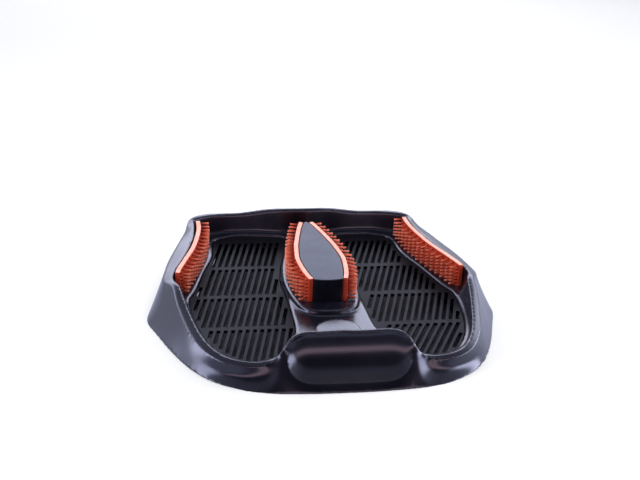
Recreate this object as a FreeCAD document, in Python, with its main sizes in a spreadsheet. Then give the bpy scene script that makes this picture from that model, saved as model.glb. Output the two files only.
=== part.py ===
# Boot scraper mat: a moulded tray with two slotted wells, a leaf shaped island between them,
# and four brush strips that stand along the sides of the wells. Millimetres, +Z up.
# The origin is on the ground, in the middle of the tray. The front with its oval hollow is at -Y.
import FreeCAD, Part
import math
import os
from FreeCAD import Vector

doc = FreeCAD.newDocument("boot_scraper_mat")

# Driving dimensions. Every cell is one size that a designer could set by itself.
SIZES = {
    "half_width": 230,          # ground outline, middle to side corner
    "half_depth": 229,          # ground outline, middle to front and to back
    "deck_height": 26,          # plain floor between the wells
    "lip_height": 62,           # raised middle of the rim, front and back
    "side_height": 55,          # rim beside the brushes
    "rim_gap": 2.3,             # slit between a side brush and the wall behind it
    "wing_fall": 5,             # how far that rim's broad top slopes down to its outer edge
    "rim_fall": 5,              # how far the rim before a well slopes down to its outer edge
    "shell": 3,                 # thickness of the moulding
    "skirt_wall": 5,            # thickness of the flared skirt
    "step_depth": 8,            # how far the crescent under each well front is set in
    "plinth_rise": 7,           # ring round the island, above the deck
    "plinth_margin": 3,         # ring beyond the bristle tips
    "plinth_overlap": 1,        # root of the ring in the deck
    "well_margin": 2,           # well edge beyond the ring and inside the side bristles
    "grate_recess": 3,          # top of a grate below the deck
    "grate_thick": 4,
    "grate_gap": 0.6,           # gap round a grate
    "ledge_width": 5,           # shelf that a grate rests on
    "sump_floor": 6,            # top of the dirt tray under a grate
    "slot_width": 4.6,
    "slot_pitch": 8.8,
    "slot_border": 4.5,         # solid edge of a grate
    "bridge_width": 8,          # solid cross bars of a grate
    "bridge_pitch": 90,
    "tab_radius": 28,           # half round pad behind the front lip
    "tab_straight": 49,         # its straight sides, from the foot of the lip
    "tab_rise": 8,
    "scoop_half_width": 79,     # oval hollow in the front skirt
    "scoop_half_height": 33,
    "scoop_half_depth": 22,
    "scoop_depth": 13,
    "scoop_height": 36,         # middle of the hollow above the ground
    "island_top": 64,
    "strip_thick": 6,           # backing strip of a brush
    "strip_gap": 0.8,           # gap between a strip and the island
    "groove_depth": 2,          # foot of a strip in its groove
    "groove_gap": 0.4,
    "side_strip_top": 56,
    "bristle_length": 12,
    "bristle_rows": 6,
    "row_gap": 1.6,             # space between two rows of bristles
    "row_margin": 1.5,          # bare edge of a strip above and below its rows
    "end_margin": 1.5,          # bare ends of a strip
    "bristle_seat": 0.1,        # gap that keeps the curved faces of strip and bristles apart
    "screw_diameter": 4,
    "screw_head": 8,
    "screw_head_height": 2.4,
    "screw_bite": 12,           # thread in the island
    "screw_gap": 0.3,           # round a screw in the deck
    "thread_gap": 0.08,         # round a screw in the island, where its thread bites
    "head_taper": 0.3,
    "boss_diameter": 11,
    "overrun": 1,               # how far a cutter passes the face that it opens
}
sheet = doc.addObject("Spreadsheet::Sheet", "sizes")
for row, (name, value) in enumerate(SIZES.items(), start=1):
    sheet.set("A%d" % row, name)
    sheet.set("B%d" % row, str(value))
    sheet.setAlias("B%d" % row, name)
doc.recompute()


def size(name):
    return float(sheet.get(name))


half_width = size("half_width")
half_depth = size("half_depth")
deck_height = size("deck_height")
shell = size("shell")
overrun = size("overrun")

# The tray's outlines, from the front middle round the right hand side to the back middle.
# Plan places are shares of half_width and half_depth, rim heights are shares of lip_height.
GROUND_SHARES = [
    (0.000, -0.996), (0.165, -0.993), (0.304, -0.983), (0.383, -0.974), (0.443, -0.961),
    (0.517, -0.939), (0.600, -0.895), (0.696, -0.821), (0.783, -0.707), (0.852, -0.568),
    (0.909, -0.419), (0.957, -0.271), (0.998, -0.131), (0.987, -0.017), (0.957, 0.105),
    (0.913, 0.271), (0.865, 0.454), (0.813, 0.620), (0.765, 0.760), (0.696, 0.886),
    (0.565, 0.965), (0.404, 0.991), (0.265, 0.998), (0.143, 1.000), (0.000, 1.000),
]
RIM_OUTER_SHARES = [
    (0.000, -0.838, 1.000), (0.152, -0.843, 1.000), (0.285, -0.858, 0.985),
    (0.345, -0.870, 0.742), (0.404, -0.883, 0.532), (0.491, -0.884, 0.468),
    (0.590, -0.857, 0.468), (0.684, -0.785, 0.484), (0.750, -0.669, 0.532),
    (0.793, -0.540, 0.597), (0.826, -0.388, 0.694), (0.848, -0.237, 0.806),
    (0.861, -0.122, 0.871), (0.904, -0.035, 0.855), (0.896, 0.070, 0.855),
    (0.865, 0.227, 0.863), (0.817, 0.402, 0.871), (0.765, 0.576, 0.887),
    (0.730, 0.716, 0.887), (0.691, 0.838, 0.887), (0.561, 0.913, 0.871),
    (0.400, 0.930, 0.855), (0.265, 0.926, 0.919), (0.148, 0.904, 0.984),
    (0.000, 0.891, 1.000),
]
RIM_INNER_SHARES = [
    (0.000, -0.803), (0.148, -0.808), (0.267, -0.822), (0.327, -0.835), (0.391, -0.849),
    (0.483, -0.852), (0.570, -0.825), (0.652, -0.755), (0.713, -0.646), (0.752, -0.524),
    (0.783, -0.376), (0.809, -0.227), (0.826, -0.122), (0.848, -0.035), None,
    None, None, None, None, (0.665, 0.812),
    (0.530, 0.878), (0.383, 0.895), (0.254, 0.889), (0.143, 0.867), (0.000, 0.858),
]
WALL_FOOT_SHARES = [
    (0.000, -0.777), (0.143, -0.782), (0.254, -0.796), (0.314, -0.813), (0.387, -0.838),
    (0.478, -0.843), (0.561, -0.817), (0.639, -0.747), (0.696, -0.638), (0.730, -0.515),
    (0.757, -0.367), (0.774, -0.227), (0.787, -0.122), (0.835, -0.039), None,
    None, None, None, None, (0.659, 0.803),
    (0.522, 0.865), (0.378, 0.880), (0.246, 0.873), (0.139, 0.849), (0.000, 0.840),
]
# Stations 12 to 18 lie beside a side brush, and the broad sloping rim starts one further on.
BESIDE_BRUSH = range(12, 19)
WING = range(13, 19)
# The wall behind a side brush passes these stations at these points of the brush's line.
WALL_STATIONS = {14: 2, 15: 5, 16: 9, 17: 12, 18: 16}
# The rim before a well slopes down outwards, by these shares of its fall.
FALL_SHARES = {4: 0.6, 5: 1.0, 6: 1.0, 7: 1.0, 8: 1.0, 9: 0.9, 10: 0.8, 11: 0.6, 12: 0.3}
# Stations 4 to 7 lie under a well's front, where the skirt steps in under the rim.
STEP_SHARES = {4: 0.8, 5: 1.0, 6: 1.0, 7: 0.7}
# Stations 0 to 3 lie behind the oval hollow, where the skirt needs more wall.
THICK_SHARES = {0: 1.1, 1: 1.1, 2: 1.0, 3: 0.4}
# The outer face of a side brush and of an island brush, from front to back.
SIDE_BRUSH_SHARES = [
    (0.835, 0.004), (0.822, 0.061), (0.796, 0.140), (0.761, 0.245), (0.730, 0.336),
    (0.709, 0.419), (0.689, 0.515), (0.672, 0.624), (0.667, 0.764),
]
ISLAND_SHARES = [
    (0.109, -0.210), (0.130, -0.114), (0.141, -0.017), (0.146, 0.083), (0.139, 0.162),
    (0.128, 0.258), (0.104, 0.384), (0.078, 0.502), (0.043, 0.629),
]
ISLAND_FRONT_SHARE = -0.214
ISLAND_BOW_SHARE = 0.015
PLINTH_FRONT_SHARES = [(0.000, -0.341), (0.087, -0.332), (0.152, -0.280)]
PLINTH_TIP_SHARE = 0.725
WELL_FRONT_SHARES = [
    (0.683, -0.611), (0.626, -0.725), (0.561, -0.795), (0.487, -0.825), (0.391, -0.803),
    (0.317, -0.738), (0.261, -0.638), (0.226, -0.515), (0.213, -0.376),
]
WELL_OUTER_SHARES = [(0.761, -0.070), (0.761, -0.201), (0.748, -0.341), (0.722, -0.485)]
WELL_BACK_SHARES = [
    (0.104, 0.760), (0.148, 0.817), (0.252, 0.834), (0.383, 0.838), (0.491, 0.803),
    (0.565, 0.738),
]


def plan(share):
    return Vector(share[0] * half_width, share[1] * half_depth, 0)


def offset(points, distance):
    """Moves an open row of plan points sideways, to the right of its direction of travel."""
    moved = []
    for index, point in enumerate(points):
        before = points[max(index - 1, 0)]
        after = points[min(index + 1, len(points) - 1)]
        along = Vector(after.x - before.x, after.y - before.y, 0).normalize()
        moved.append(Vector(point.x + along.y * distance, point.y - along.x * distance, point.z))
    return moved


def smoothed(points, count):
    """The same row of points as a smooth curve, with evenly spaced points."""
    curve = Part.BSplineCurve()
    curve.interpolate(Points=points)
    return curve.discretize(Number=count)


def offset_loop(points, distance):
    """Moves a closed loop of plan points outwards, where the loop runs anticlockwise."""
    count = len(points)
    moved = []
    for index, point in enumerate(points):
        before = points[index - 1]
        after = points[(index + 1) % count]
        along = Vector(after.x - before.x, after.y - before.y, 0).normalize()
        moved.append(Vector(point.x + along.y * distance, point.y - along.x * distance, point.z))
    return moved


def lifted(points, height):
    return [Vector(point.x, point.y, height) for point in points]


def mirrored(points):
    return [Vector(-point.x, point.y, point.z) for point in points]


def closed_curve(points):
    curve = Part.BSplineCurve()
    steps = [step / len(points) for step in range(len(points) + 1)]
    curve.interpolate(Points=points, PeriodicFlag=True, Parameters=steps)
    return curve.toShape()


def open_curve(points):
    curve = Part.BSplineCurve()
    curve.interpolate(Points=points)
    return curve.toShape()


def whole_ring(half):
    """A closed ring from the half that runs from the front middle to the back middle."""
    return half + mirrored(half[1:-1])[::-1]


def skin(rings):
    """A closed solid between rings of equal count, with a flat face over the first and last."""
    edges = [closed_curve(ring) for ring in rings]
    faces = [Part.Face(Part.Wire(edges[0])), Part.Face(Part.Wire(edges[-1]))]
    for lower, upper in zip(edges, edges[1:]):
        faces.append(Part.makeRuledSurface(lower, upper))
    solid = Part.makeSolid(Part.makeShell(faces))
    if solid.Volume < 0:
        solid.reverse()
    return solid


def prism(points, bottom, top):
    face = Part.Face(Part.Wire(closed_curve(lifted(points, bottom))))
    return face.extrude(Vector(0, 0, top - bottom))


def ribbon(inner, outer, bottom, top):
    """A curved wall between two open rows of plan points."""
    first = open_curve(lifted(inner, bottom))
    second = open_curve(lifted(outer, bottom))
    start = Part.LineSegment(lifted(inner, bottom)[0], lifted(outer, bottom)[0]).toShape()
    end = Part.LineSegment(lifted(inner, bottom)[-1], lifted(outer, bottom)[-1]).toShape()
    wire = Part.Wire(Part.__sortEdges__([first, end, second, start]))
    return Part.Face(wire).extrude(Vector(0, 0, top - bottom))


def held(name, shape):
    """Puts a worked out shape into the document."""
    thing = doc.addObject("Part::Feature", name)
    thing.Shape = shape
    return thing


def joined(name, things):
    fuse = doc.addObject("Part::MultiFuse", name)
    fuse.Shapes = things
    return fuse


def grouped(name, things):
    """Solids that don't meet, used together."""
    group = doc.addObject("Part::Compound", name)
    group.Links = things
    return group


def cut(name, base, tool):
    result = doc.addObject("Part::Cut", name)
    result.Base = base
    result.Tool = tool
    return result


parts = {}

# Brush lines. A side brush runs along its wall, an island brush along the island.
BRUSH_POINTS = 17
# Outlines that follow the island's line take every third point of it, from these points on.
STRIDE = 3
PLINTH_START = 1
WELL_START = 3
# A well's outer edge is straight between these points of the side brush's line.
EDGE_FIRST = 1
EDGE_LAST = 12
EDGE_SHARES = [1.0, 0.66, 0.33, 0.0]
side_line = smoothed([plan(share) for share in SIDE_BRUSH_SHARES], BRUSH_POINTS)
island_line = smoothed([plan(share) for share in ISLAND_SHARES], BRUSH_POINTS)
strip_thick = size("strip_thick")
bristle_length = size("bristle_length")
brush_depth = strip_thick + bristle_length

# Tray: the solid outside, from the ground up the skirt, over the rim and down to the deck.
lip_height = size("lip_height")
wall_line = offset(side_line, size("rim_gap"))
ground = [plan(share) for share in GROUND_SHARES]
rim_outer = []
for index, share in enumerate(RIM_OUTER_SHARES):
    point = plan(share)
    point.z = share[2] * lip_height
    if index in BESIDE_BRUSH:
        point.z *= size("side_height") / (RIM_OUTER_SHARES[WING[-1]][2] * lip_height)
    rim_outer.append(point)


def wall_ring(shares):
    ring = []
    for index, share in enumerate(shares):
        ring.append(plan(share) if share else Vector(wall_line[WALL_STATIONS[index]]))
    return ring


rim_inner = wall_ring(RIM_INNER_SHARES)
for index, point in enumerate(rim_inner):
    point.z = rim_outer[index].z
    rim_outer[index].z -= size("rim_fall") * FALL_SHARES.get(index, 0)
    if index in WING:
        rim_outer[index].z -= size("wing_fall")
wall_foot = lifted(wall_ring(WALL_FOOT_SHARES), deck_height)


def between(low, high, share):
    return low + (high - low) * share


half_share = 0.5
skirt_middle = []
for index, (low, high) in enumerate(zip(ground, rim_outer)):
    point = between(low, high, half_share)
    inward = Vector(-point.x, -point.y, 0).normalize()
    skirt_middle.append(point + inward * size("step_depth") * STEP_SHARES.get(index, 0))
tray_rings = [whole_ring(ring) for ring in (ground, skirt_middle, rim_outer, rim_inner, wall_foot)]
tray_blank = held("tray_blank", skin(tray_rings))

# Plinth: the raised ring that the island stands in.
plinth_line = offset(island_line, bristle_length + size("plinth_margin"))
plinth_half = [plan(share) for share in PLINTH_FRONT_SHARES] + plinth_line[PLINTH_START::STRIDE]
plinth_half.append(plan((0, PLINTH_TIP_SHARE)))
plinth_top = deck_height + size("plinth_rise")
plinth_loop = whole_ring(plinth_half)
plinth = held("plinth", prism(plinth_loop, deck_height - size("plinth_overlap"), plinth_top))

# Tab: the half round pad behind the front lip.
tab_radius = size("tab_radius")
tab_top = deck_height + size("tab_rise")
tab_bottom = deck_height - size("plinth_overlap")
tab_back = WALL_FOOT_SHARES[0][1] * half_depth + size("tab_straight")
tab_front = (WALL_FOOT_SHARES[0][1] * half_depth + RIM_INNER_SHARES[0][1] * half_depth) / 2
tab_length = tab_back - tab_front
tab_round = Part.makeCylinder(tab_radius, tab_top - tab_bottom, Vector(0, tab_back, tab_bottom))
tab_box = Part.makeBox(2 * tab_radius, tab_length, tab_top - tab_bottom)
tab_box.translate(Vector(-tab_radius, tab_front, tab_bottom))
tab = held("tab", tab_round.fuse(tab_box).removeSplitter())

tray_solid = joined("tray_solid", [tray_blank, plinth, tab])

# Wells: each has an edge for the grate, a ledge under it and a closed dirt tray below.
tips = offset(side_line, -brush_depth)
edge_along = (tips[EDGE_LAST] - tips[EDGE_FIRST]).normalize()
edge_inwards = Vector(-edge_along.y, edge_along.x, 0)
bulge = max((tip - tips[EDGE_FIRST]).dot(edge_inwards) for tip in tips[EDGE_FIRST:EDGE_LAST])
edge_clear = edge_inwards * (bulge + size("well_margin"))
outer_side = [between(tips[EDGE_FIRST], tips[EDGE_LAST], share) + edge_clear
              for share in EDGE_SHARES]
inner_side = offset(plinth_line, size("well_margin"))
well_right = [plan(share) for share in WELL_FRONT_SHARES]
well_right += inner_side[WELL_START::STRIDE]
well_right += [plan(share) for share in WELL_BACK_SHARES]
well_right += outer_side
well_right += [plan(share) for share in WELL_OUTER_SHARES]
# The list runs clockwise, so it is turned round for the offsets.
well_right = well_right[::-1]
WELLS = {"left": mirrored(well_right)[::-1], "right": well_right}
grate_top = deck_height - size("grate_recess")
ledge_height = grate_top - size("grate_thick")
sump_floor = size("sump_floor")
pockets = []
sumps = []
buckets = []
for side, loop in WELLS.items():
    pockets.append(held(side + "_pocket", prism(loop, ledge_height, lip_height + overrun)))
    sump_loop = offset_loop(loop, -size("ledge_width"))
    sumps.append(held(side + "_sump", prism(sump_loop, sump_floor, ledge_height + overrun)))
    bucket_loop = offset_loop(loop, shell)
    buckets.append(held(side + "_bucket", prism(bucket_loop, sump_floor - shell, lip_height)))

# Underside: the skirt and deck are a shell, and the two wells hang in it like buckets.
skirt_wall = size("skirt_wall")


def inset(ring):
    moved = []
    for index, point in enumerate(ring):
        thick = skirt_wall + size("scoop_depth") * THICK_SHARES.get(index, 0)
        inward = Vector(-point.x, -point.y, 0).normalize()
        moved.append(point + inward * thick)
    return moved


deck_under = deck_height - shell
under_top = []
for middle, rim in zip(skirt_middle, rim_outer):
    share = max(0.0, (deck_under - middle.z) / (rim.z - middle.z))
    under_top.append(between(middle, rim, share) if share else Vector(middle))
under_top = lifted(inset(under_top), deck_under)
under_middle = lifted(inset(skirt_middle), deck_under / 2)
under_bottom = lifted(inset(ground), -overrun)
hollow_rings = [whole_ring(ring) for ring in (under_bottom, under_middle, under_top)]
hollow = cut("hollow", held("hollow_blank", skin(hollow_rings)), joined("two_buckets", buckets))

# Scoop: the smooth oval hollow in the front skirt, a slice off a long pill with round ends.
front_low = ground[0]
front_high = rim_outer[0]
slope = (front_high - front_low).normalize()
outward = Vector(0, -slope.z, slope.y)
scoop_share = size("scoop_height") / front_high.z
scoop_out = size("scoop_half_depth") - size("scoop_depth")
scoop_middle = between(front_low, front_high, scoop_share) + outward * scoop_out
round_end = size("scoop_half_height")
straight = size("scoop_half_width") - round_end
pill = Part.makeCylinder(round_end, 2 * straight, Vector(-straight, 0, 0), Vector(1, 0, 0))
for end in (-straight, straight):
    pill = pill.fuse(Part.makeSphere(round_end, Vector(end, 0, 0), Vector(1, 0, 0)))
flatten = FreeCAD.Matrix()
flatten.scale(1, size("scoop_half_depth") / round_end, 1)
pill = pill.removeSplitter().transformGeometry(flatten)
pill.rotate(Vector(0, 0, 0), Vector(1, 0, 0), -math.degrees(math.atan2(slope.y, slope.z)))
pill.translate(scoop_middle)
scoop = held("scoop", pill)

# Grooves that the feet of the four strips stand in.
groove_gap = size("groove_gap")
groove_depth = size("groove_depth")


def lengthened(line, distance):
    """The same line, with both ends drawn out."""
    first = (line[0] - line[1]).normalize() * distance
    last = (line[-1] - line[-2]).normalize() * distance
    return [line[0] + first] + line[1:-1] + [line[-1] + last]


bristle_seat = size("bristle_seat")
BRUSHES = {}
for side, turn in (("left", True), ("right", False)):
    BRUSHES["side_" + side] = {
        "line": side_line, "turn": turn, "foot": deck_height, "top": size("side_strip_top"),
        "backing": (0, -strip_thick), "bristles": (-strip_thick - bristle_seat, -brush_depth),
    }
    BRUSHES["island_" + side] = {
        "line": island_line, "turn": turn, "foot": plinth_top, "top": size("island_top"),
        "backing": (0, -strip_thick), "bristles": (bristle_seat, bristle_length),
    }


def brush_wall(brush, near, far, bottom, top, grow=0.0):
    line = lengthened(brush["line"], grow)
    rows = [offset(line, near + grow), offset(line, far - grow if far < near else far + grow)]
    if brush["turn"]:
        rows = [mirrored(row) for row in rows]
    return ribbon(rows[0], rows[1], bottom, top)


grooves = []
for name, brush in BRUSHES.items():
    near, far = brush["backing"]
    bottom = brush["foot"] - groove_depth
    groove = brush_wall(brush, near, far, bottom, brush["foot"] + overrun, groove_gap)
    grooves.append(held(name + "_groove", groove))

# Screw holes under the island.
SCREW_SHARES = [0.0, 0.42]
holes = []
for index, share in enumerate(SCREW_SHARES):
    hole = doc.addObject("Part::Cylinder", "screw_hole_%d" % (index + 1))
    hole.setExpression("Radius", "sizes.screw_diameter / 2 + sizes.screw_gap")
    hole.setExpression("Height", "sizes.deck_height + sizes.plinth_rise + sizes.overrun")
    hole.setExpression("Placement.Base.y", "sizes.half_depth * %g" % share)
    holes.append(hole)

tray_stages = [
    ("tray_hollow", hollow), ("tray_scooped", scoop), ("tray_wells", grouped("wells", pockets)),
    ("tray_sumps", grouped("sumps", sumps)), ("tray_grooved", grouped("grooves", grooves)),
    ("tray", grouped("screw_holes", holes)),
]
tray = tray_solid
for name, cutter in tray_stages:
    tray = cut(name, tray, cutter)
parts["tray"] = tray

# Grates: a plate that drops into each well, with slots between solid cross bars.
slot_width = size("slot_width")
slot_pitch = size("slot_pitch")
SLOT_LEAN = {"left": 13.0, "right": 18.0}
SHORTEST_STEPS = 8
BORDER_POINTS = 90
# The front slots of the right grate lean over further than the rest.
FRONT_LEAN = 27.0


def inside_loop(point, corners):
    """True where a plan point lies inside a closed row of corners."""
    inside = False
    for before, after in zip(corners, corners[1:] + corners[:1]):
        if (before.y > point.y) != (after.y > point.y):
            share = (point.y - before.y) / (after.y - before.y)
            if point.x < before.x + share * (after.x - before.x):
                inside = not inside
    return inside


def slot_between(middle, lean, low, high, corners):
    """One slot through a middle point, as long as its band and the grate's border allow."""
    along = Vector(math.sin(math.radians(lean)), math.cos(math.radians(lean)), 0)
    step = slot_width / 2
    start = math.ceil((low - middle.y) / along.y / step)
    stop = math.floor((high - middle.y) / along.y / step)
    clear = [k for k in range(start, stop + 1) if inside_loop(middle + along * k * step, corners)]
    if len(clear) < SHORTEST_STEPS:
        return None
    length = (clear[-1] - clear[0]) * step
    bar = Part.makeBox(slot_width, length, grate_top - ledge_height + 2 * overrun)
    bar.translate(Vector(-slot_width / 2, clear[0] * step, ledge_height - overrun))
    bar.rotate(Vector(0, 0, 0), Vector(0, 0, 1), -lean)
    bar.translate(middle)
    return bar


for side, loop in WELLS.items():
    plate = prism(offset_loop(loop, -size("grate_gap")), ledge_height, grate_top)
    border = closed_curve(offset_loop(loop, -size("slot_border")))
    corners = border.discretize(Number=BORDER_POINTS)
    low_x, high_x = min(c.x for c in corners), max(c.x for c in corners)
    low_y, high_y = min(c.y for c in corners), max(c.y for c in corners)
    slots = []
    bands = math.ceil((high_y - low_y) / size("bridge_pitch"))
    for band in range(bands):
        low = low_y + band * size("bridge_pitch")
        high = low + size("bridge_pitch") - size("bridge_width")
        lean = FRONT_LEAN if side == "right" and band == 0 else SLOT_LEAN[side]
        spread = slot_pitch / math.cos(math.radians(lean))
        middle = Vector((low_x + high_x) / 2, (low + high) / 2, 0)
        reach = math.ceil((high_x - low_x) / spread)
        for index in range(-reach, reach + 1):
            place = middle + Vector(index * spread, 0, 0)
            slots.append(slot_between(place, lean, low, high, corners))
    slots = held(side + "_slots", Part.makeCompound([slot for slot in slots if slot]))
    parts[side + "_grate"] = cut(side + "_grate", held(side + "_plate", plate), slots)

# Island: a hollow moulding on the plinth, narrower than the strips that stand against it.
island_gap = strip_thick + size("strip_gap")
island_side = offset(island_line, -island_gap)
front_y = ISLAND_FRONT_SHARE * half_depth


def island_loop(distance, front):
    """The island's outline: two bowed sides that meet in a tip, and a nearly straight front."""
    row = [point for point in offset(island_side, -distance) if point.y > front and point.x > 0]
    row = [Vector(row[0].x, front, 0)] + row[1:]
    tip = Vector(0, row[-1].y + row[-1].x, 0)
    right = open_curve(row)
    left = open_curve(mirrored(row))
    ends = [Part.LineSegment(end[-1], tip).toShape() for end in (row, mirrored(row))]
    bow = Vector(0, front - ISLAND_BOW_SHARE * half_width, 0)
    edge = Part.Arc(mirrored(row)[0], bow, row[0]).toShape()
    return Part.Face(Part.Wire(Part.__sortEdges__([right, left, edge] + ends)))


island_height = size("island_top") - plinth_top
outside = island_loop(0, front_y)
outside.translate(Vector(0, 0, plinth_top))
inside = island_loop(shell, front_y + shell)
inside.translate(Vector(0, 0, plinth_top - overrun))
island_solid = held("island_solid", outside.extrude(Vector(0, 0, island_height)))
inside_height = island_height - shell + overrun
island_hollow = held("island_hollow", inside.extrude(Vector(0, 0, inside_height)))
island_shell = cut("island_shell", island_solid, island_hollow)
bosses = []
pilots = []
for index, share in enumerate(SCREW_SHARES):
    boss = doc.addObject("Part::Cylinder", "boss_%d" % (index + 1))
    boss.setExpression("Radius", "sizes.boss_diameter / 2")
    boss.setExpression("Height", "sizes.island_top - sizes.deck_height - sizes.plinth_rise")
    boss.setExpression("Placement.Base.y", "sizes.half_depth * %g" % share)
    boss.setExpression("Placement.Base.z", "sizes.deck_height + sizes.plinth_rise")
    bosses.append(boss)
    pilot = doc.addObject("Part::Cylinder", "pilot_%d" % (index + 1))
    pilot.setExpression("Radius", "sizes.screw_diameter / 2 + sizes.thread_gap")
    pilot.setExpression("Height", "sizes.screw_bite + 2 * sizes.overrun")
    pilot.setExpression("Placement.Base.y", "sizes.half_depth * %g" % share)
    pilot.setExpression(
        "Placement.Base.z", "sizes.deck_height + sizes.plinth_rise - sizes.overrun")
    pilots.append(pilot)
island_body = joined("island_body", [island_shell] + bosses)
parts["island_block"] = cut("island_block", island_body, joined("pilots", pilots))

# Island screws: two pan head screws up through the deck, turned about their own axis.
screws = []
for index, share in enumerate(SCREW_SHARES):
    shaft = doc.addObject("Part::Cylinder", "shaft_%d" % (index + 1))
    shaft.setExpression("Radius", "sizes.screw_diameter / 2")
    shaft.setExpression("Height", "sizes.plinth_rise + sizes.shell + sizes.screw_bite")
    head = doc.addObject("Part::Cone", "head_%d" % (index + 1))
    head.setExpression("Radius1", "sizes.screw_head / 2 - sizes.head_taper")
    head.setExpression("Radius2", "sizes.screw_head / 2")
    head.setExpression("Height", "sizes.screw_head_height")
    for item, drop in ((shaft, ""), (head, " - sizes.screw_head_height")):
        item.setExpression("Placement.Base.y", "sizes.half_depth * %g" % share)
        item.setExpression("Placement.Base.z", "sizes.deck_height - sizes.shell" + drop)
    screws += [joined("screw_%d" % (index + 1), [shaft, head])]

# Brushes: a backing strip, and rows of bristles that stand off its face.
row_count = int(size("bristle_rows"))
row_margin = size("row_margin")
end_margin = size("end_margin")
for name, brush in BRUSHES.items():
    near, far = brush["backing"]
    strip = brush_wall(brush, near, far, brush["foot"] - groove_depth, brush["top"])
    parts[name + "_strip"] = held(name + "_strip", strip)
    low = brush["foot"] + row_margin
    pitch = (brush["top"] - row_margin - low + size("row_gap")) / row_count
    shorter = dict(brush, line=lengthened(brush["line"], -end_margin))
    near, far = brush["bristles"]
    rows = []
    for index in range(row_count):
        bottom = low + index * pitch
        rows.append(brush_wall(shorter, near, far, bottom, bottom + pitch - size("row_gap")))
    parts[name + "_bristles"] = held(name + "_bristles", Part.makeCompound(rows))

doc.recompute()
parts["island_screws"] = held("island_screws", Part.makeCompound([item.Shape for item in screws]))
doc.recompute()

for thing in doc.Objects:
    if "Invalid" in thing.State or "Error" in thing.State:
        raise RuntimeError("%s failed: %s" % (thing.Name, thing.State))
os.makedirs("parts", exist_ok=True)
for name, thing in parts.items():
    thing.Label = name
    shape = thing.Shape
    if shape.isNull() or not shape.isValid():
        raise RuntimeError(name + " has a shape that is not valid")
    print("%-24s %d solids, %.0f cubic mm" % (name, len(shape.Solids), shape.Volume))
for name, thing in parts.items():
    thing.Shape.exportStep(os.path.join("parts", name + ".step"))
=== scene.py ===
# %% [markdown]
# # A boot scraper mat
# The mat is a black moulded tray with two slotted wells, a leaf shaped island between them and
# four orange-red brushes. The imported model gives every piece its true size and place, so this
# lesson only dresses it: each step takes a solid from the frame, works on a copy of its mesh and
# gives it the surface that the real piece has. First the frame is loaded.

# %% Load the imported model
import math

import bmesh
import bpy
import numpy as np
from mathutils import Matrix, Vector
from mathutils.bvhtree import BVHTree


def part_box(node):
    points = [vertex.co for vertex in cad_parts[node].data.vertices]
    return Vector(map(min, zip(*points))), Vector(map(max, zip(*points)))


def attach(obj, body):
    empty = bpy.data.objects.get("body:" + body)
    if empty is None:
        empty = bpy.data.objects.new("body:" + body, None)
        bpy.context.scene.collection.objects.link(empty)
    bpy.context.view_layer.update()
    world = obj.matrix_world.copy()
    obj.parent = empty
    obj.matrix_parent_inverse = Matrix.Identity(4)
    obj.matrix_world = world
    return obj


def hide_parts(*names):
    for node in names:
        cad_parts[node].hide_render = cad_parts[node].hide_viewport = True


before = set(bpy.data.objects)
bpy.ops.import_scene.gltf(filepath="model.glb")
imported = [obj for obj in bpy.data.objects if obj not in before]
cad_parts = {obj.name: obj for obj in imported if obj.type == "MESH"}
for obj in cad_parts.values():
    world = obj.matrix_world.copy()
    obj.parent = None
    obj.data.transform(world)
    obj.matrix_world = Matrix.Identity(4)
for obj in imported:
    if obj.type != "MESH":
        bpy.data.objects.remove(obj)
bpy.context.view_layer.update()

MM = 0.001

# %% [markdown]
# ## The camera
# The photograph looks at the mat from the front, from a little to its left and from well above,
# with a long lens. The place and the three angles were found by fitting mirrored pairs of points
# of the tray, so they are written here as a survey gives them: a place, a heading, a dip and a
# roll. The focal length is in pixels of the photograph.

# %% Place the camera
CAMERA_PLACE = Vector((-273, -1450.7, 719)) * MM
HEADING = math.radians(10.47)
DIP = math.radians(22.86)
ROLL = math.radians(-2.81)
PICTURE_WIDTH = 640
FOCAL_PIXELS = 1232
SENSOR_WIDTH = 36


def add_camera():
    forward = Vector((math.sin(HEADING) * math.cos(DIP), math.cos(HEADING) * math.cos(DIP),
                      -math.sin(DIP)))
    level = Vector((math.cos(HEADING), -math.sin(HEADING), 0))
    down = forward.cross(level)
    right = level * math.cos(ROLL) + down * math.sin(ROLL)
    down = down * math.cos(ROLL) - level * math.sin(ROLL)
    data = bpy.data.cameras.new("camera")
    data.sensor_width = SENSOR_WIDTH
    data.lens = SENSOR_WIDTH * FOCAL_PIXELS / PICTURE_WIDTH
    camera = bpy.data.objects.new("camera", data)
    bpy.context.scene.collection.objects.link(camera)
    turn = Matrix((right, -down, -forward)).transposed()
    camera.matrix_world = Matrix.Translation(CAMERA_PLACE) @ turn.to_4x4()
    bpy.context.scene.camera = camera
    return camera


camera = add_camera()
print("lens in mm:", round(camera.data.lens, 1))

# %% [markdown]
# ## Node trees as plain sums
# A finish is a small sum of masks, and a sum is easier to read as a line of Python than as a web
# of nodes. A Wire wraps one socket. Adding or multiplying wires adds the Math node that does it,
# so `1 - mask` works. Every other node comes from one method of Web, which serves finishes, the
# world and Geometry Nodes alike, because all three are trees of nodes and links. A Finish is a
# Web with the Principled shader in it and short names for the nodes that finishes share.

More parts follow.
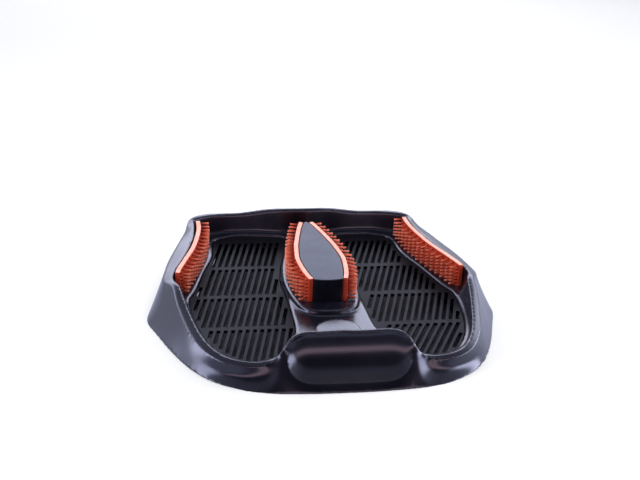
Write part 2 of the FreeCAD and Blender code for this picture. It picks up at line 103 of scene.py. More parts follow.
# %% A wrapper for sockets and a maker of nodes
class Wire:
    """One output socket of a tree, with the arithmetic of a number."""

    def __init__(self, web, socket):
        self.web = web
        self.socket = socket

    def _sum(self, operation, first, second):
        return self.web.node("ShaderNodeMath", {"operation": operation}, {0: first, 1: second})

    def __add__(self, other):
        return self._sum("ADD", self, other)

    def __radd__(self, other):
        return self._sum("ADD", other, self)

    def __sub__(self, other):
        return self._sum("SUBTRACT", self, other)

    def __rsub__(self, other):
        return self._sum("SUBTRACT", other, self)

    def __mul__(self, other):
        return self._sum("MULTIPLY", self, other)

    def __rmul__(self, other):
        return self._sum("MULTIPLY", other, self)

    def __truediv__(self, other):
        return self._sum("DIVIDE", self, other)

    def or_more(self, other):
        return self._sum("MAXIMUM", self, other)

    def function(self, operation):
        """A function of one number, such as SINE or SQRT."""
        return self.web.node("ShaderNodeMath", {"operation": operation}, {0: self})

    def between(self, low, high):
        """0 at low and 1 at high, with a soft step."""
        settings = {"interpolation_type": "SMOOTHSTEP"}
        return self.web.node("ShaderNodeMapRange", settings,
                             {"Value": self, "From Min": low, "From Max": high})

    def axis(self, index):
        """One part of a vector: 0, 1 or 2 for x, y or z."""
        return self.web.node("ShaderNodeSeparateXYZ", sockets={"Vector": self}, out=index)


class Web:
    """A node tree, and one way to add any node to it."""

    def __init__(self, tree):
        self.tree = tree
        self.tree.nodes.clear()

    def node(self, kind, settings=None, sockets=None, out=0):
        made = self.tree.nodes.new(kind)
        for key, value in (settings or {}).items():
            setattr(made, key, value)
        for key, value in (sockets or {}).items():
            self.fill(made.inputs[key], value)
        return Wire(self, made.outputs[out]) if made.outputs else made

    def fill(self, socket, value):
        if isinstance(value, Wire):
            self.tree.links.new(value.socket, socket)
        elif socket.type == "RGBA":
            socket.default_value = (*value, 1)
        else:
            socket.default_value = value


class Finish(Web):
    """A material whose Principled shader is filled in from wires and plain values."""

    def __init__(self, name):
        self.material = bpy.data.materials.new(name)
        self.material.use_nodes = True
        super().__init__(self.material.node_tree)
        self.shader = self.tree.nodes.new("ShaderNodeBsdfPrincipled")
        output = self.tree.nodes.new("ShaderNodeOutputMaterial")
        self.tree.links.new(self.shader.outputs["BSDF"], output.inputs["Surface"])

    def set(self, **sockets):
        for key, value in sockets.items():
            self.fill(self.shader.inputs[key.replace("_", " ")], value)
        return self.material

    def place(self):
        return self.node("ShaderNodeTexCoord", out="Object")

    def noise(self, scale, detail=2.0, roughness=0.5, place=None):
        sockets = {"Vector": place or self.place(), "Scale": scale, "Detail": detail,
                   "Roughness": roughness}
        return self.node("ShaderNodeTexNoise", sockets=sockets, out="Fac")

    def attribute(self, name):
        return self.node("ShaderNodeAttribute", {"attribute_name": name}, out="Fac")

    def upwards(self):
        """1 where the surface faces straight up."""
        return self.node("ShaderNodeNewGeometry", out="Normal").axis(2)

    def mix(self, share, first, second):
        settings = {"data_type": "RGBA"}
        return self.node("ShaderNodeMix", settings, {0: share, 6: first, 7: second}, out=2)

    def bump(self, height, distance, strength):
        sockets = {"Height": height, "Distance": distance, "Strength": strength}
        return self.node("ShaderNodeBump", sockets=sockets)


print("node helpers ready")

# %% [markdown]
# ## The studio
# A black moulding shows its shape only by what it mirrors, so the studio matters as much as the
# plastic. The mat was photographed on white between soft panels, with the dark side of the room
# behind the camera. The floor is pale and takes the shadow. To a gloss it looks a little bluer,
# and dark in front of the mat, where the dark side of the room begins. Light Path's Is Glossy Ray
# tells the two apart, so the floor that the camera sees stays white.

# %% Floor
FLOOR_HALF = 9.0
FLOOR_COLOUR = (0.9, 0.9, 0.9)
MIRRORED_FLOOR = (0.66, 0.69, 0.88)
SHADED_FLOOR = (0.02, 0.02, 0.03)
# The shade's places along y, from nothing through full to nothing again.
SHADE_START, SHADE_FULL, SHADE_END = -0.22, -0.3, -1.6
SHADE_DEPTH = 0.93


def link(thing):
    bpy.context.scene.collection.objects.link(thing)
    return thing


def add_floor():
    mesh = bpy.data.meshes.new("floor")
    square = ((-1, -1), (1, -1), (1, 1), (-1, 1))
    corners = [(x * FLOOR_HALF, y * FLOOR_HALF, 0) for x, y in square]
    mesh.from_pydata(corners, [], [(0, 1, 2, 3)])
    floor = link(bpy.data.objects.new("floor", mesh))
    paper = Finish("floor_paper")
    fibre = paper.noise(40.0, 3.0)
    forwards = paper.place().axis(1)
    shade = forwards.between(SHADE_START, SHADE_FULL) - forwards.between(SHADE_FULL, SHADE_END)
    mirrored = paper.node("ShaderNodeLightPath", out="Is Glossy Ray")
    colour = paper.mix(mirrored, FLOOR_COLOUR, MIRRORED_FLOOR)
    colour = paper.mix(mirrored * shade * SHADE_DEPTH, colour, SHADED_FLOOR)
    mesh.materials.append(paper.set(Base_Color=colour, Roughness=0.85 + fibre * 0.1,
                                    Specular_IOR_Level=0.1))


add_floor()
print("floor of", 2 * FLOOR_HALF, "m laid")

# %% [markdown]
# What a gloss mirrors is drawn in the world rather than lit by lamps, because a lamp's edge would
# show in it. It is a pale bluish room with a dimmer ceiling, a brighter panel behind and at each
# side, a dark card towards the camera, and a faint rose glow low in front, which is the stripe in
# the oval hollow. The camera sees plain white.

# %% World
WHITE = (1, 1, 1)
WORLD_FILL = 0.45
STUDIO_COLOUR = (0.8, 0.83, 1.0)
# The card and the ceiling start and are full at these values of y and z of a direction.
CARD_START, CARD_FULL = -0.3, -0.62
CARD_DEPTH = 0.97
CEILING_LOW, CEILING_HIGH = 0.5, 0.85
CEILING_DEPTH = 0.5
# Each panel has its range of x, y and z of the direction that a gloss mirrors, and a strength.
PANELS = {
    "back": ((-0.75, 0.75), (0.5, 1.5), (0.26, 0.56), 4.0),
    "left": ((-1.5, -0.76), (-0.35, 0.5), (-0.1, 0.36), 8.0),
    "right": ((0.7, 1.5), (-0.45, 0.55), (-0.1, 0.32), 9.0),
}
PANEL_EDGE = 0.07
GLOW = ((-0.8, 0.8), (-1.5, -0.5), (-0.1, 0.24), 3.0)
GLOW_COLOUR = (1.0, 0.72, 0.78)


def add_world():
    world = bpy.data.worlds.new("studio")
    bpy.context.scene.world = world
    world.use_nodes = True
    web = Web(world.node_tree)

    def ray(kind):
        return web.node("ShaderNodeLightPath", out="Is %s Ray" % kind)

    towards = web.node("ShaderNodeTexCoord", out="Generated")

    def panel(x_range, y_range, z_range, strength):
        mask = strength
        for axis, (low, high) in enumerate((x_range, y_range, z_range)):
            along = towards.axis(axis)
            mask = along.between(low - PANEL_EDGE, low + PANEL_EDGE) * mask
            mask = mask * (1 - along.between(high - PANEL_EDGE, high + PANEL_EDGE))
        return mask

    card = 1 - towards.axis(1).between(CARD_START, CARD_FULL) * CARD_DEPTH
    ceiling = 1 - towards.axis(2).between(CEILING_LOW, CEILING_HIGH) * CEILING_DEPTH
    studio = card * ceiling
    for ranges_and_strength in PANELS.values():
        studio = studio + panel(*ranges_and_strength)
    seen = ray("Camera").or_more(ray("Transmission")) + ray("Diffuse") * WORLD_FILL

    def light(colour, strength):
        return web.node("ShaderNodeBackground", sockets={"Color": colour, "Strength": strength})

    mirrored = web.node("ShaderNodeAddShader",
                        sockets={0: light(STUDIO_COLOUR, ray("Glossy") * studio),
                                 1: light(GLOW_COLOUR, ray("Glossy") * panel(*GLOW))})
    whole = web.node("ShaderNodeAddShader", sockets={0: light(WHITE, seen), 1: mirrored})
    web.node("ShaderNodeOutputWorld", sockets={"Surface": whole})
    return world


print("world has", len(add_world().node_tree.nodes), "nodes")

# %% [markdown]
# The lamps only light what is not glossy: the bristles, the strips and the floor. They are hidden
# from glossy rays, so that nothing is mirrored twice.

# %% Lamps
COOL_WHITE = (0.88, 0.9, 1.0)
LAMP_AIM = Vector((0, 0, 0.03))
# Each lamp has a place, a size, its watts and a colour.
LAMPS = {
    "top_softbox": ((0.1, 0.3, 1.9), (1.6, 1.2), 22, WHITE),
    "left_softbox": ((-1.7, -0.3, 0.75), (1.3, 0.9), 18, COOL_WHITE),
    "right_softbox": ((1.7, 0.1, 0.5), (1.3, 0.8), 20, COOL_WHITE),
    "back_softbox": ((0.3, 2.3, 0.75), (2.6, 0.45), 12, COOL_WHITE),
}


def add_lamp(name, place, size, watts, colour):
    data = bpy.data.lights.new(name, "AREA")
    data.shape = "RECTANGLE"
    data.size, data.size_y = size
    data.energy = watts
    data.color = colour
    lamp = link(bpy.data.objects.new(name, data))
    lamp.location = place
    lamp.rotation_euler = (LAMP_AIM - Vector(place)).to_track_quat("-Z", "Y").to_euler()
    lamp.visible_glossy = False


for name, lamp_facts in LAMPS.items():
    add_lamp(name, *lamp_facts)
bpy.context.scene.view_settings.view_transform = "Standard"
print(len(LAMPS), "lamps hung")

# %% [markdown]
# ## Working on copies
# A node of the frame is loose triangles, so a copy has its doubles merged before anything is
# done to it. Modifiers are turned into plain mesh with new_from_object, and vertices go through
# numpy, because a moulded surface is easier to shape as one array than point by point.

# %% Copies and plain meshes
MERGE_DISTANCE = 0.005 * MM


def merged_copy(node, name):
    """A copy of a node's mesh with its doubles merged, as a new object."""
    shape = bmesh.new()
    shape.from_mesh(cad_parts[node].data)
    bmesh.ops.remove_doubles(shape, verts=shape.verts, dist=MERGE_DISTANCE)
    mesh = bpy.data.meshes.new(name)
    shape.to_mesh(mesh)
    shape.free()
    return link(bpy.data.objects.new(name, mesh))


def baked(piece):
    """Turns a piece's modifiers into plain mesh."""
    graph = bpy.context.evaluated_depsgraph_get()
    graph.update()
    mesh = bpy.data.meshes.new_from_object(piece.evaluated_get(graph))
    piece.modifiers.clear()
    piece.data = mesh
    return piece


def smooth(piece):
    piece.data.polygons.foreach_set("use_smooth", [True] * len(piece.data.polygons))
    return piece


def finish_piece(piece, body, slot, material, *nodes):
    """Gives a piece its material and its body, and hides the nodes that it stands for."""
    piece.data.materials.clear()
    piece.data.materials.append(material)
    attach(piece, body)
    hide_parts(*nodes)
    print(piece.name, len(piece.data.polygons), "faces")


print("mesh helpers ready")

# %% Vertices as arrays
RELAX_STEP = 0.5


def read_vertices(mesh, what):
    """One value of three numbers for each vertex, such as co or normal."""
    values = np.empty(len(mesh.vertices) * 3, np.float32)
    mesh.vertices.foreach_get(what, values)
    return values.reshape(-1, 3).astype(float)


def read_edges(mesh):
    pairs = np.empty(len(mesh.edges) * 2, np.int32)
    mesh.edges.foreach_get("vertices", pairs)
    return pairs.reshape(-1, 2)


def relaxed(points, pairs, weight, rounds):
    """Points drawn towards the mean of their neighbours, which rounds edges."""
    count = len(points)
    degree = np.bincount(pairs.ravel(), minlength=count)[:, None]
    for _ in range(rounds):
        total = np.stack([np.bincount(pairs[:, 0], points[pairs[:, 1], axis], count)
                          + np.bincount(pairs[:, 1], points[pairs[:, 0], axis], count)
                          for axis in range(3)], axis=1)
        points = points + (total / degree - points) * RELAX_STEP * weight[:, None]
    return points


print("relaxing by", RELAX_STEP, "of the way in a round")

# %% [markdown]
# ## The tray's plastic
# The tray is glossy black with a blue cast. Up close a moulding is never one value: the mould's
# texture breaks the gloss, handling scuffs the rims paler, and a highlight painted along them
# makes them paler still; dry mud dulls the floors of the dirt trays under the grates. The colour
# is nearly nothing, so the shape is drawn by the reflections. The blue cast sits in the specular
# tint, because a tinted base would hardly show.

# %% Finish of the tray
TRAY_BLACK, TRAY_CLOUD = (0.004, 0.004, 0.008), (0.007, 0.007, 0.013)
TRAY_SCUFF_AND_HIGHLIGHT = (0.04, 0.042, 0.058)
DRY_MUD = (0.012, 0.01, 0.009)
# Dry mud starts below the first height and is full below the second.
MUD_HIGH, MUD_LOW = 17.0 * MM, 13.0 * MM


def tray_plastic():
    finish = Finish("tray_plastic")
    place = finish.place()
    edge = finish.attribute("edge")
    mud = finish.upwards().between(0.7, 0.95) * place.axis(2).between(MUD_HIGH, MUD_LOW)
    cloud = finish.noise(14.0, 3.0, place=place)
    grain = finish.noise(900.0, 2.0, place=place)
    speck = finish.noise(2600.0, 1.0, place=place)
    # partly scuff, partly a painted highlight: the rims' edges are mixed towards a paler blue
    scuff_and_highlight = edge.between(0.3, 1.0) * finish.noise(45.0, 3.0, 0.55, place).between(0.3, 0.7)
    base = finish.mix(cloud.between(0.35, 0.7), TRAY_BLACK, TRAY_CLOUD)
    base = finish.mix(scuff_and_highlight * 0.35, base, TRAY_SCUFF_AND_HIGHLIGHT)
    base = finish.mix(mud * cloud.between(0.3, 0.7), base, DRY_MUD)
    rough = 0.17 + cloud * 0.07 + grain * 0.03 + scuff_and_highlight * 0.08 + mud * 0.5
    normal = finish.bump(grain * 0.7 + speck * 0.3, 0.02 * MM, 0.4)
    return finish.set(Base_Color=base, Roughness=rough, Normal=normal, IOR=1.55,
                      Specular_Tint=(0.82, 0.82, 1.0))


tray_material = tray_plastic()
print("tray finish ready")

# %% [markdown]
# ## The tray
# The solid has the tray's sizes but its edges are sharp, and a real moulding has none: plastic
# won't fill a sharp corner. A bevel needs tidy faces, which a tessellated solid lacks, so the
# copy is remeshed into small even cells and relaxed. Relaxing rounds every edge alike, as a
# mould's fillets do. The skirt is relaxed for longer, because it is one soft sweep, and the
# ledges of the wells and the ground edge only a little, because grates and floor meet them. The
# copy is turned while it is cut into cells: an edge that runs nearly along a row of cells comes
# out in long steps, and the tray's long edges would.

# %% Cut the tray into cells
CELL = 1.35 * MM
CELL_TURN = Matrix.Rotation(math.radians(31), 4, "Z")


def cut_into_cells(piece):
    """Remeshes a piece into even cells, and turns it out of their rows while it does."""
    piece.data.transform(CELL_TURN)
    remesh = piece.modifiers.new("cells", "REMESH")
    remesh.mode = "VOXEL"
    remesh.voxel_size = CELL
    baked(piece)
    piece.data.transform(CELL_TURN.inverted())


tray = merged_copy("tray", "tray_moulding")
cut_into_cells(tray)
print("cells", len(tray.data.vertices))

# %% [markdown]
# The skirt has to be told from the wells, though both are one mesh. The tray is seen from above
# as a clock: in each direction from its middle, the furthest point gives its reach and the
# highest of the outer points gives its rim. What faces outwards below the rim is the skirt.

# %% Reach and rim in each direction
DIRECTIONS = 180
OUTER_SHARE = 0.72


def reach_and_rim(points):
    """For each point: its distance from the middle, and the reach and rim in its direction."""
    angle = np.arctan2(points[:, 1], points[:, 0])
    index = ((angle + math.pi) / (2 * math.pi) * DIRECTIONS).astype(int) % DIRECTIONS
    radius = np.hypot(points[:, 0], points[:, 1])
    reach = np.zeros(DIRECTIONS)
    np.maximum.at(reach, index, radius)
    outer = radius > reach[index] * OUTER_SHARE
    rim = np.zeros(DIRECTIONS)
    np.maximum.at(rim, index[outer], points[outer, 2])
    return radius, reach[index], rim[index]


# %% Round the tray's edges
ROUNDS = 12
SKIRT_ROUNDS = 110
LEDGE_BELOW, LEDGE_ABOVE = 2 * MM, 1 * MM
LEDGE_SHARE, LEDGE_WEIGHT = 0.9, 0.25
GROUND_BAND, GROUND_WEIGHT = 4 * MM, 0.35
SKIRT_FACING = 0.25
SKIRT_LOW_SHARE, SKIRT_HIGH_SHARE = 0.05, 0.86
SKIRT_INSIDE = 150 * MM


def round_edges(mesh, pairs):
    """Relaxes the tray's vertices and returns them."""
    start = read_vertices(mesh, "co")
    normals = read_vertices(mesh, "normal")
    radius, reach, rim = reach_and_rim(start)
    height = start[:, 2]
    grate_low, grate_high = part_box("right_grate")
    ledge = (height > grate_low.z - LEDGE_BELOW) & (height < grate_high.z - LEDGE_ABOVE)
    weight = np.ones(len(start))
    weight[ledge & (radius < reach * LEDGE_SHARE)] = LEDGE_WEIGHT
    weight[height < GROUND_BAND] = GROUND_WEIGHT
    points = relaxed(start, pairs, weight, ROUNDS)
    outwards = (normals[:, 0] * points[:, 0] + normals[:, 1] * points[:, 1]) / radius
    share = height / rim
    skirt = (outwards > SKIRT_FACING) & (share > SKIRT_LOW_SHARE) & (share < SKIRT_HIGH_SHARE)
    skirt &= radius > SKIRT_INSIDE
    points = relaxed(points, pairs, skirt * 1.0, SKIRT_ROUNDS)
    print("moved at most %.2f mm" % (np.linalg.norm(points - start, axis=1).max() / MM))
    mesh.vertices.foreach_set("co", points.astype(np.float32).ravel())
    mesh.update()
    return points


pairs = read_edges(tray.data)
rounded = round_edges(tray.data, pairs)

# %% [markdown]
# The finish wears off along the edges, and a highlight is painted paler along them, so it has to
# know where they are. A few more rounds would draw an outer edge further inwards, and how far is
# how much of an edge it is. That number is stored as an attribute. The cells are then thinned,
# and the normals of the fine mesh are handed down to the thin one, so that a reflection runs over
# it as over the fine one.

# %% Mark the edges and thin the mesh
EDGE_ROUNDS = 4
EDGE_DEPTH = 0.12 * MM
MOST_TRIANGLES = 190000


def mark_edges(mesh, points, pairs):
    further = relaxed(points, pairs, np.ones(len(points)), EDGE_ROUNDS)
    bulge = ((points - further) * read_vertices(mesh, "normal")).sum(axis=1) / EDGE_DEPTH
    attribute = mesh.attributes.new("edge", "FLOAT", "POINT")
    attribute.data.foreach_set("value", np.clip(bulge, 0, 1).astype(np.float32))


def thin_out(piece):
    """Thins a piece and gives it the shading of what it was."""
    fine = smooth(link(bpy.data.objects.new("fine", piece.data.copy())))
    smooth(piece)
    thin = piece.modifiers.new("thin", "DECIMATE")
    thin.ratio = min(1.0, MOST_TRIANGLES / (2 * len(piece.data.polygons)))
    shade = piece.modifiers.new("shade", "DATA_TRANSFER")
    shade.object = fine
    shade.use_loop_data = True
    shade.data_types_loops = {"CUSTOM_NORMAL"}
    shade.loop_mapping = "POLYINTERP_NEAREST"
    baked(piece)
    bpy.data.objects.remove(fine)


mark_edges(tray.data, rounded, pairs)
thin_out(tray)
finish_piece(tray, "root", "tray_plastic", tray_material, "tray")

# %% [markdown]
# ## The grates
# A grate is a flat plate with straight slots. Its solid is already the right shape, and what it
# lacks is the small radius that every moulded edge has, which is what catches the light along a
# bar. A bevel can give that here, because flat faces merge into tidy polygons first. Boolean cuts
# would make the same slots, but the solid has them already, and its sizes are the true ones.

# %% Bevelled copies
FLAT_ANGLE = math.radians(1.0)
BEVEL_ANGLE = math.radians(38.0)


def bevelled_copy(node, name, width, steps=2):
    """A copy of a node with flat faces merged and its sharp edges rounded."""
    piece = merged_copy(node, name)
    shape = bmesh.new()
    shape.from_mesh(piece.data)
    bmesh.ops.dissolve_limit(shape, angle_limit=FLAT_ANGLE, verts=shape.verts, edges=shape.edges)
    shape.to_mesh(piece.data)
    shape.free()
    bevel = piece.modifiers.new("round", "BEVEL")
    bevel.width = width
    bevel.segments = steps
    bevel.limit_method = "ANGLE"
    bevel.angle_limit = BEVEL_ANGLE
    bevel.use_clamp_overlap = False
    piece.modifiers.new("shade", "WEIGHTED_NORMAL").keep_sharp = True
    smooth(piece)
    return baked(piece)


print("bevels from an angle of %.0f degrees" % math.degrees(BEVEL_ANGLE))

# %% Finish and shape of the grates
GRATE_BLACK, GRATE_DUST = (0.004, 0.004, 0.006), (0.016, 0.015, 0.016)
GRATE_RADIUS = 0.5 * MM


def grate_plastic():
    finish = Finish("grate_plastic")
    place = finish.place()
    cloud = finish.noise(30.0, 3.0, place=place)
    grain = finish.noise(700.0, 3.0, place=place)
    dust = finish.noise(90.0, 4.0, 0.7, place).between(0.5, 0.75)
    base = finish.mix(dust * 0.3, GRATE_BLACK, GRATE_DUST)
    rough = 0.4 + cloud * 0.12 + dust * 0.12
    normal = finish.bump(grain, 0.05 * MM, 0.5)
    return finish.set(Base_Color=base, Roughness=rough, Normal=normal, IOR=1.4,
                      Specular_IOR_Level=0.08, Specular_Tint=(0.85, 0.85, 1.0))


grate_material = grate_plastic()
for side in ("left", "right"):
    node = side + "_grate"
    grate = bevelled_copy(node, node + "_plate", GRATE_RADIUS)
    finish_piece(grate, node, "grate_plastic", grate_material, node)

# %% [markdown]
# ## The island
# The island is a second moulding, screwed down on the plinth. Its top is textured, rougher and
# painted a lighter grey, as a sheen where the light falls on it, and its walls are glossy black.
# One finish holds both, and tells them apart by whether the surface faces up.

# %% Finish and shape of the island
ISLAND_WALL = (0.005, 0.005, 0.009)
ISLAND_PAINTED_SHEEN, ISLAND_CLOUD = (0.05, 0.056, 0.085), (0.075, 0.082, 0.115)
ISLAND_WEAR = (0.12, 0.125, 0.15)
ISLAND_RADIUS = 1.4 * MM


def island_plastic():
    finish = Finish("island_plastic")
    place = finish.place()
    top = finish.upwards().between(0.55, 0.95)
    cloud = finish.noise(18.0, 4.0, 0.6, place)
    grain = finish.noise(1100.0, 3.0, place=place)
    wear = finish.noise(70.0, 5.0, 0.7, place).between(0.48, 0.75)
    painted_sheen = finish.mix(cloud.between(0.3, 0.7), ISLAND_PAINTED_SHEEN, ISLAND_CLOUD)
    painted_sheen = finish.mix(wear * 0.25, painted_sheen, ISLAND_WEAR)
    # painted sheen: surfaces that face up get the lighter colour, the walls stay black
    base = finish.mix(top, ISLAND_WALL, painted_sheen)
    rough = 0.2 + top * 0.3 + cloud * 0.05
    normal = finish.bump(grain * top, 0.06 * MM, 0.6)
    return finish.set(Base_Color=base, Roughness=rough, Normal=normal, IOR=1.5,
                      Specular_IOR_Level=0.35, Specular_Tint=(0.85, 0.86, 1.0))


island = bevelled_copy("island_block", "island_moulding", ISLAND_RADIUS, 3)
finish_piece(island, "root", "island_plastic", island_plastic(), "island_block")

# %% [markdown]
# ## The brushes' strips
# A strip is an extruded bar of orange-red plastic, bent to its line. Its top edge is a pale
# salmon in the photograph, where it faces the lights and use has rubbed it, and its faces are a
# deep red. The pale top is a painted highlight, with rubbed patches in it. As on the island, one
# finish tells the two apart by which way they face.

# %% Finish and shape of the strips
STRIP_RED, STRIP_CLOUD = (0.5, 0.045, 0.02), (0.66, 0.075, 0.03)
STRIP_PALE_HIGHLIGHT, STRIP_RUBBED_HIGHLIGHT = (0.82, 0.36, 0.27), (0.9, 0.5, 0.41)
STRIP_RADIUS = 0.7 * MM
BRUSHES = [place + "_" + side for place in ("side", "island") for side in ("left", "right")]


def strip_plastic():
    finish = Finish("brush_strip")
    place = finish.place()
    top = finish.upwards().between(0.35, 0.9)
    cloud = finish.noise(45.0, 4.0, 0.6, place)
    grain = finish.noise(800.0, 2.0, place=place)
    rubbed = finish.noise(120.0, 5.0, 0.7, place).between(0.4, 0.75)
    side = finish.mix(cloud.between(0.3, 0.7), STRIP_RED, STRIP_CLOUD)
    pale_highlight = finish.mix(rubbed, STRIP_PALE_HIGHLIGHT, STRIP_RUBBED_HIGHLIGHT)
    rough = 0.34 + cloud * 0.1 + top * 0.12
    normal = finish.bump(grain + rubbed * top * 0.6, 0.05 * MM, 0.5)
    # painted highlight: surfaces that face up get the pale salmon
    return finish.set(Base_Color=finish.mix(top, side, pale_highlight), Roughness=rough, Normal=normal,
                      IOR=1.5)


strip_material = strip_plastic()
for brush in BRUSHES:
    strip = bevelled_copy(brush + "_strip", brush + "_backing", STRIP_RADIUS)
    finish_piece(strip, brush + "_brush", "brush_strip", strip_material, brush + "_strip")

# %% [markdown]
# ## The bristles
# Each brush has six rows of tufts, and a tuft is a bundle of stiff filaments set in one hole.
# That is a rule, not a shape, so Geometry Nodes grow it: points at an even pitch along the
# strip's face, and a bundle on each point turned to stand off the face. The tufts of all rows
# stand in line above each other, which draws the even stripes that the photograph shows.

# %% A Geometry Nodes tree with named inputs
class Growth(Web):
    """A Geometry Nodes tree that takes a line and gives what grows on it."""

    def __init__(self, name):
        super().__init__(bpy.data.node_groups.new(name, "GeometryNodeTree"))
        self.socket("Line", "Geometry")
        self.tree.interface.new_socket("Grown", in_out="OUTPUT",
                                       socket_type="NodeSocketGeometry")
        self.inlet = self.tree.nodes.new("NodeGroupInput")

    def socket(self, name, kind="Float"):
        self.tree.interface.new_socket(name, in_out="INPUT", socket_type="NodeSocket" + kind)

    def read(self, name):
        return Wire(self, self.inlet.outputs[name])

    def random(self, low, high, seed):
        """A random number between low and high, or a vector where they are vectors."""
        kind, first, out = ("FLOAT_VECTOR", 0, 0) if isinstance(low, tuple) else ("FLOAT", 2, 1)
        sockets = {first: low, first + 1: high, "Seed": seed}
        return self.node("FunctionNodeRandomValue", {"data_type": kind}, sockets, out=out)

    def vector(self, x, y, z=0.0):
        return self.node("ShaderNodeCombineXYZ", sockets={"X": x, "Y": y, "Z": z})

    def keep(self, geometry, domain, name, value):
        """Stores a number under a name that a finish can read."""
        settings = {"data_type": "FLOAT", "domain": domain}
        sockets = {"Geometry": geometry, "Name": name, "Value": value}
        return self.node("GeometryNodeStoreNamedAttribute", settings, sockets)

    def realized(self, geometry):
        return self.node("GeometryNodeRealizeInstances", sockets={"Geometry": geometry})

    def finish(self, geometry):
        self.node("NodeGroupOutput", sockets={"Grown": geometry})
        return self.tree


print("Geometry Nodes helper ready")

# %% [markdown]
# A filament is a thin cone, and it keeps how far along it each of its points lies, so that its
# finish can fade from root to tip. A bundle is filaments on a small disc: each leans outwards by
# how far out it stands, and a little at random, as in a tuft that has been used.

# %% One filament and one bundle
FILAMENT_SIDES = 5
TIP_SHARE = 0.7
WHOLE_TURN = 2 * math.pi
LEAN_JITTER = 0.03


def one_filament(web):
    radius, length = web.read("Filament"), web.read("Length")
    cone = web.node("GeometryNodeMeshCone", {"fill_type": "TRIANGLE_FAN"},
                    {"Vertices": FILAMENT_SIDES, "Side Segments": 2, "Radius Bottom": radius,
                     "Radius Top": radius * TIP_SHARE, "Depth": length})
    height = web.node("GeometryNodeInputPosition").axis(2)
    return web.keep(cone, "POINT", "reach", height / length)


def one_bundle(web, filament, seed):
    ring = web.random(0.0, WHOLE_TURN, seed)
    far = web.random(0.02, 1.0, seed + 1).function("SQRT")
    flat_x = ring.function("COSINE") * far
    flat_y = ring.function("SINE") * far
    bundle, splay = web.read("Bundle"), web.read("Splay")
    spots = {"Count": web.read("Count"),
             "Position": web.vector(flat_x * bundle, flat_y * bundle)}
    points = web.node("GeometryNodePoints", sockets=spots)
    jitter = web.random((-LEAN_JITTER, -LEAN_JITTER, 0.0), (LEAN_JITTER, LEAN_JITTER, WHOLE_TURN),
                        seed + 2)
    lean = web.vector(flat_y * splay * -1.0 + jitter.axis(0), flat_x * splay + jitter.axis(1),
                      jitter.axis(2))
    bundle = web.node("GeometryNodeInstanceOnPoints",
                      sockets={"Points": points, "Instance": filament, "Rotation": lean})
    return web.realized(bundle)


# %% [markdown]
# The holes lie at an even pitch along the line. A bundle stands straight off the face, which is
# square to the line and to the vertical, and is spun at random, so that no two look alike.

# %% Bundles along the line
UP = (0.0, 0.0, 1.0)


def along_the_line(web, bundle, seed):
    curve = web.node("GeometryNodeMeshToCurve", sockets={"Mesh": web.read("Line")})
    holes = web.node("GeometryNodeCurveToPoints", {"mode": "LENGTH"},
                     {"Curve": curve, "Length": web.read("Pitch")})
    along = Wire(web, holes.socket.node.outputs["Tangent"])
    off = web.node("ShaderNodeVectorMath", {"operation": "CROSS_PRODUCT"}, {0: along, 1: UP})
    off = web.node("ShaderNodeVectorMath", {"operation": "SCALE"},
                   {0: off, "Scale": web.read("Side")})
    turned = web.node("FunctionNodeAlignRotationToVector", {"axis": "Z"}, {"Vector": off})
    spin = web.node("FunctionNodeAxisAngleToRotation",
                    sockets={"Axis": UP, "Angle": web.random(0.0, WHOLE_TURN, seed + 3)})
    turned = web.node("FunctionNodeRotateRotation", {"rotation_space": "LOCAL"},
                      {"Rotation": turned, "Rotate By": spin})
    grown = web.node("GeometryNodeInstanceOnPoints",
                     sockets={"Points": holes, "Instance": bundle, "Rotation": turned})
    return web.realized(web.keep(grown, "INSTANCE", "shade", web.random(0.0, 1.0, seed + 4)))


def tuft_tree(material):
    """Bundles of tapered filaments on points along the line."""
    web = Growth("tufts")
    for name in ("Pitch", "Length", "Filament", "Bundle", "Splay", "Side"):
        web.socket(name)
    for name in ("Count", "Seed"):
        web.socket(name, "Int")
    seed = web.read("Seed")
    bundle = one_bundle(web, one_filament(web), seed)
    grown = along_the_line(web, bundle, seed)
    grown = web.node("GeometryNodeSetShadeSmooth", sockets={"Geometry": grown})
    grown = web.node("GeometryNodeSetMaterial", sockets={"Geometry": grown, "Material": material})
    return web.finish(grown)


print("tuft tree ready to be built")

# %% [markdown]
# ## The bristles' finish and places
# A filament is painted deepest red at its root, as shade where no light gets in, and pales
# towards the tip, where use has split and bleached it. Both come from the attributes that the
# tree stored.

# %% Finish of the bristles
BRISTLE_ROOT_SHADE, BRISTLE_BODY = (0.3, 0.02, 0.01), (0.84, 0.17, 0.085)
BRISTLE_TIP = (0.92, 0.4, 0.28)
BRISTLE_DEEP = (0.62, 0.07, 0.04)


def bristle_plastic():
    finish = Finish("bristles")
    place = finish.place()
    reach = finish.attribute("reach")
    shade = finish.attribute("shade")
    streak = finish.noise(260.0, 3.0, 0.6, place)
    # painted shade: every filament is darkened towards its root
    base = finish.mix(reach.between(0.0, 0.85), BRISTLE_ROOT_SHADE, BRISTLE_BODY)
    base = finish.mix(reach.between(0.75, 1.0) * 0.6, base, BRISTLE_TIP)
    base = finish.mix(shade * 0.25, base, BRISTLE_DEEP)
    rough = 0.4 + streak * 0.15
    normal = finish.bump(streak, 0.05 * MM, 0.4)
    return finish.set(Base_Color=base, Roughness=rough, Normal=normal, IOR=1.5)


bristle_material = bristle_plastic()
tufts = tuft_tree(bristle_material)
print("tuft tree has", len(tufts.nodes), "nodes")

# %% [markdown]
# A line for each row has to follow its strip's face. The rows' heights are read from the solids
# that stand for them, and the face's place is found with rays from the side at evenly spaced
# places, so that no size of a brush is written here a second time.

# %% Measure each strip's face
LINE_POINTS = 40
ROW_GAP = 1.0 * MM
RAY_START = 10 * MM
FACE_END = 0.5 * MM


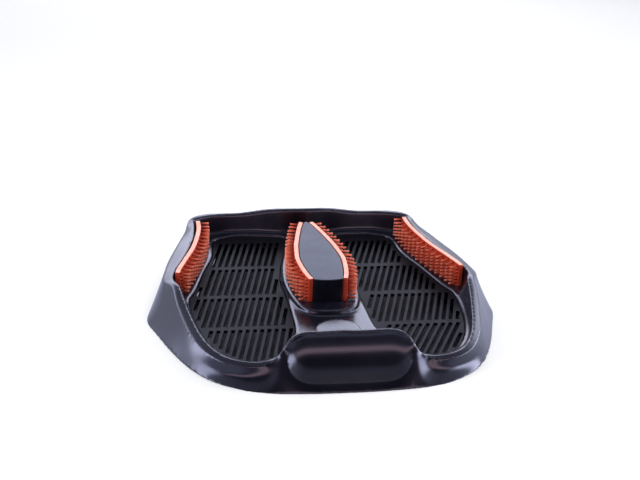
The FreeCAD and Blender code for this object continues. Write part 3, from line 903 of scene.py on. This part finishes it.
def row_heights(node):
    """The middle height of each row of bristles, read from the gaps between its solids."""
    heights = sorted({round(v.co.z, 5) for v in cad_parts[node].data.vertices})
    firsts = [k for k in range(1, len(heights)) if heights[k] - heights[k - 1] > ROW_GAP]
    return [(heights[start] + heights[stop - 1]) / 2
            for start, stop in zip([0] + firsts, firsts + [len(heights)])]


def face_line(strip, side, height):
    """Points along the bristles' side of a strip, at one height."""
    low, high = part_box(strip)
    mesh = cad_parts[strip].data
    faces = [tuple(face.vertices) for face in mesh.polygons]
    tree = BVHTree.FromPolygons([corner.co for corner in mesh.vertices], faces)
    clear = (high.x - low.x) + RAY_START
    start_x = high.x + clear if side > 0 else low.x - clear
    line = []
    for y in np.linspace(low.y + FACE_END, high.y - FACE_END, LINE_POINTS + 1):
        hit = tree.ray_cast(Vector((start_x, y, height)), Vector((-side, 0, 0)))
        if hit[0]:
            line.append(hit[0])
    return line


def trimmed(line, cut):
    """A line with a length taken off each end, as evenly spaced points."""
    lengths = [0.0]
    for before, after in zip(line, line[1:]):
        lengths.append(lengths[-1] + (after - before).length)
    kept = []
    for place in np.linspace(cut, lengths[-1] - cut, LINE_POINTS):
        index = int(np.searchsorted(lengths, place)) or 1
        part = (place - lengths[index - 1]) / (lengths[index] - lengths[index - 1])
        kept.append(line[index - 1].lerp(line[index], part))
    return kept


for brush in BRUSHES:
    print(brush, "has", len(row_heights(brush + "_bristles")), "rows")

# %% Grow the tufts
TUFT_PITCH = 12.0 * MM
TUFT_END = 3.0 * MM
ROOT_DEPTH = 0.6 * MM
BRISTLE_LENGTH = 12.0 * MM
FILAMENT_RADIUS = 0.28 * MM
FILAMENTS = 26
BUNDLE_RADIUS = 1.15 * MM
BUNDLE_SPLAY = math.radians(1.0)


def grow_tufts(brush, seed):
    place, side_name = brush.split("_")
    right = 1 if side_name == "right" else -1
    side = right if place == "island" else -right
    corners, edges = [], []
    for height in row_heights(brush + "_bristles"):
        line = face_line(brush + "_strip", side, height)
        for point in trimmed(line, TUFT_END):
            corners.append((point.x - side * ROOT_DEPTH, point.y, height))
        first = len(corners) - LINE_POINTS
        edges += [(first + k, first + k + 1) for k in range(LINE_POINTS - 1)]
    mesh = bpy.data.meshes.new(brush + "_tufts")
    mesh.from_pydata(corners, edges, [])
    piece = link(bpy.data.objects.new(brush + "_tufts", mesh))
    grower = piece.modifiers.new("grow", "NODES")
    grower.node_group = tufts
    values = {"Pitch": TUFT_PITCH, "Length": BRISTLE_LENGTH + ROOT_DEPTH,
              "Filament": FILAMENT_RADIUS, "Bundle": BUNDLE_RADIUS, "Splay": BUNDLE_SPLAY,
              "Side": float(side), "Count": FILAMENTS, "Seed": seed}
    for item in tufts.interface.items_tree:
        if item.name in values:
            grower[item.identifier] = values[item.name]
    return baked(piece)


for seed, brush in enumerate(BRUSHES, start=11):
    piece = grow_tufts(brush, seed)
    finish_piece(piece, brush + "_brush", "bristles", bristle_material, brush + "_bristles")

# %% [markdown]
# ## The screws
# Two pan head screws hold the island from below. They show only when the mat is turned over, but
# they are part of it, so they keep their solids and get a zinc finish.

# %% Finish of the screws
ZINC_DARK, ZINC_PALE = (0.5, 0.5, 0.48), (0.68, 0.67, 0.62)


def screw_steel():
    finish = Finish("screw_steel")
    place = finish.place()
    mottle = finish.noise(1500.0, 4.0, 0.6, place)
    base = finish.mix(mottle.between(0.3, 0.7), ZINC_DARK, ZINC_PALE)
    normal = finish.bump(mottle, 0.02 * MM, 0.5)
    return finish.set(Base_Color=base, Metallic=1.0, Roughness=0.25 + mottle * 0.2, Normal=normal)


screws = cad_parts["island_screws"]
screws.data.materials.clear()
screws.data.materials.append(screw_steel())
print("screws", len(screws.data.polygons), "faces")
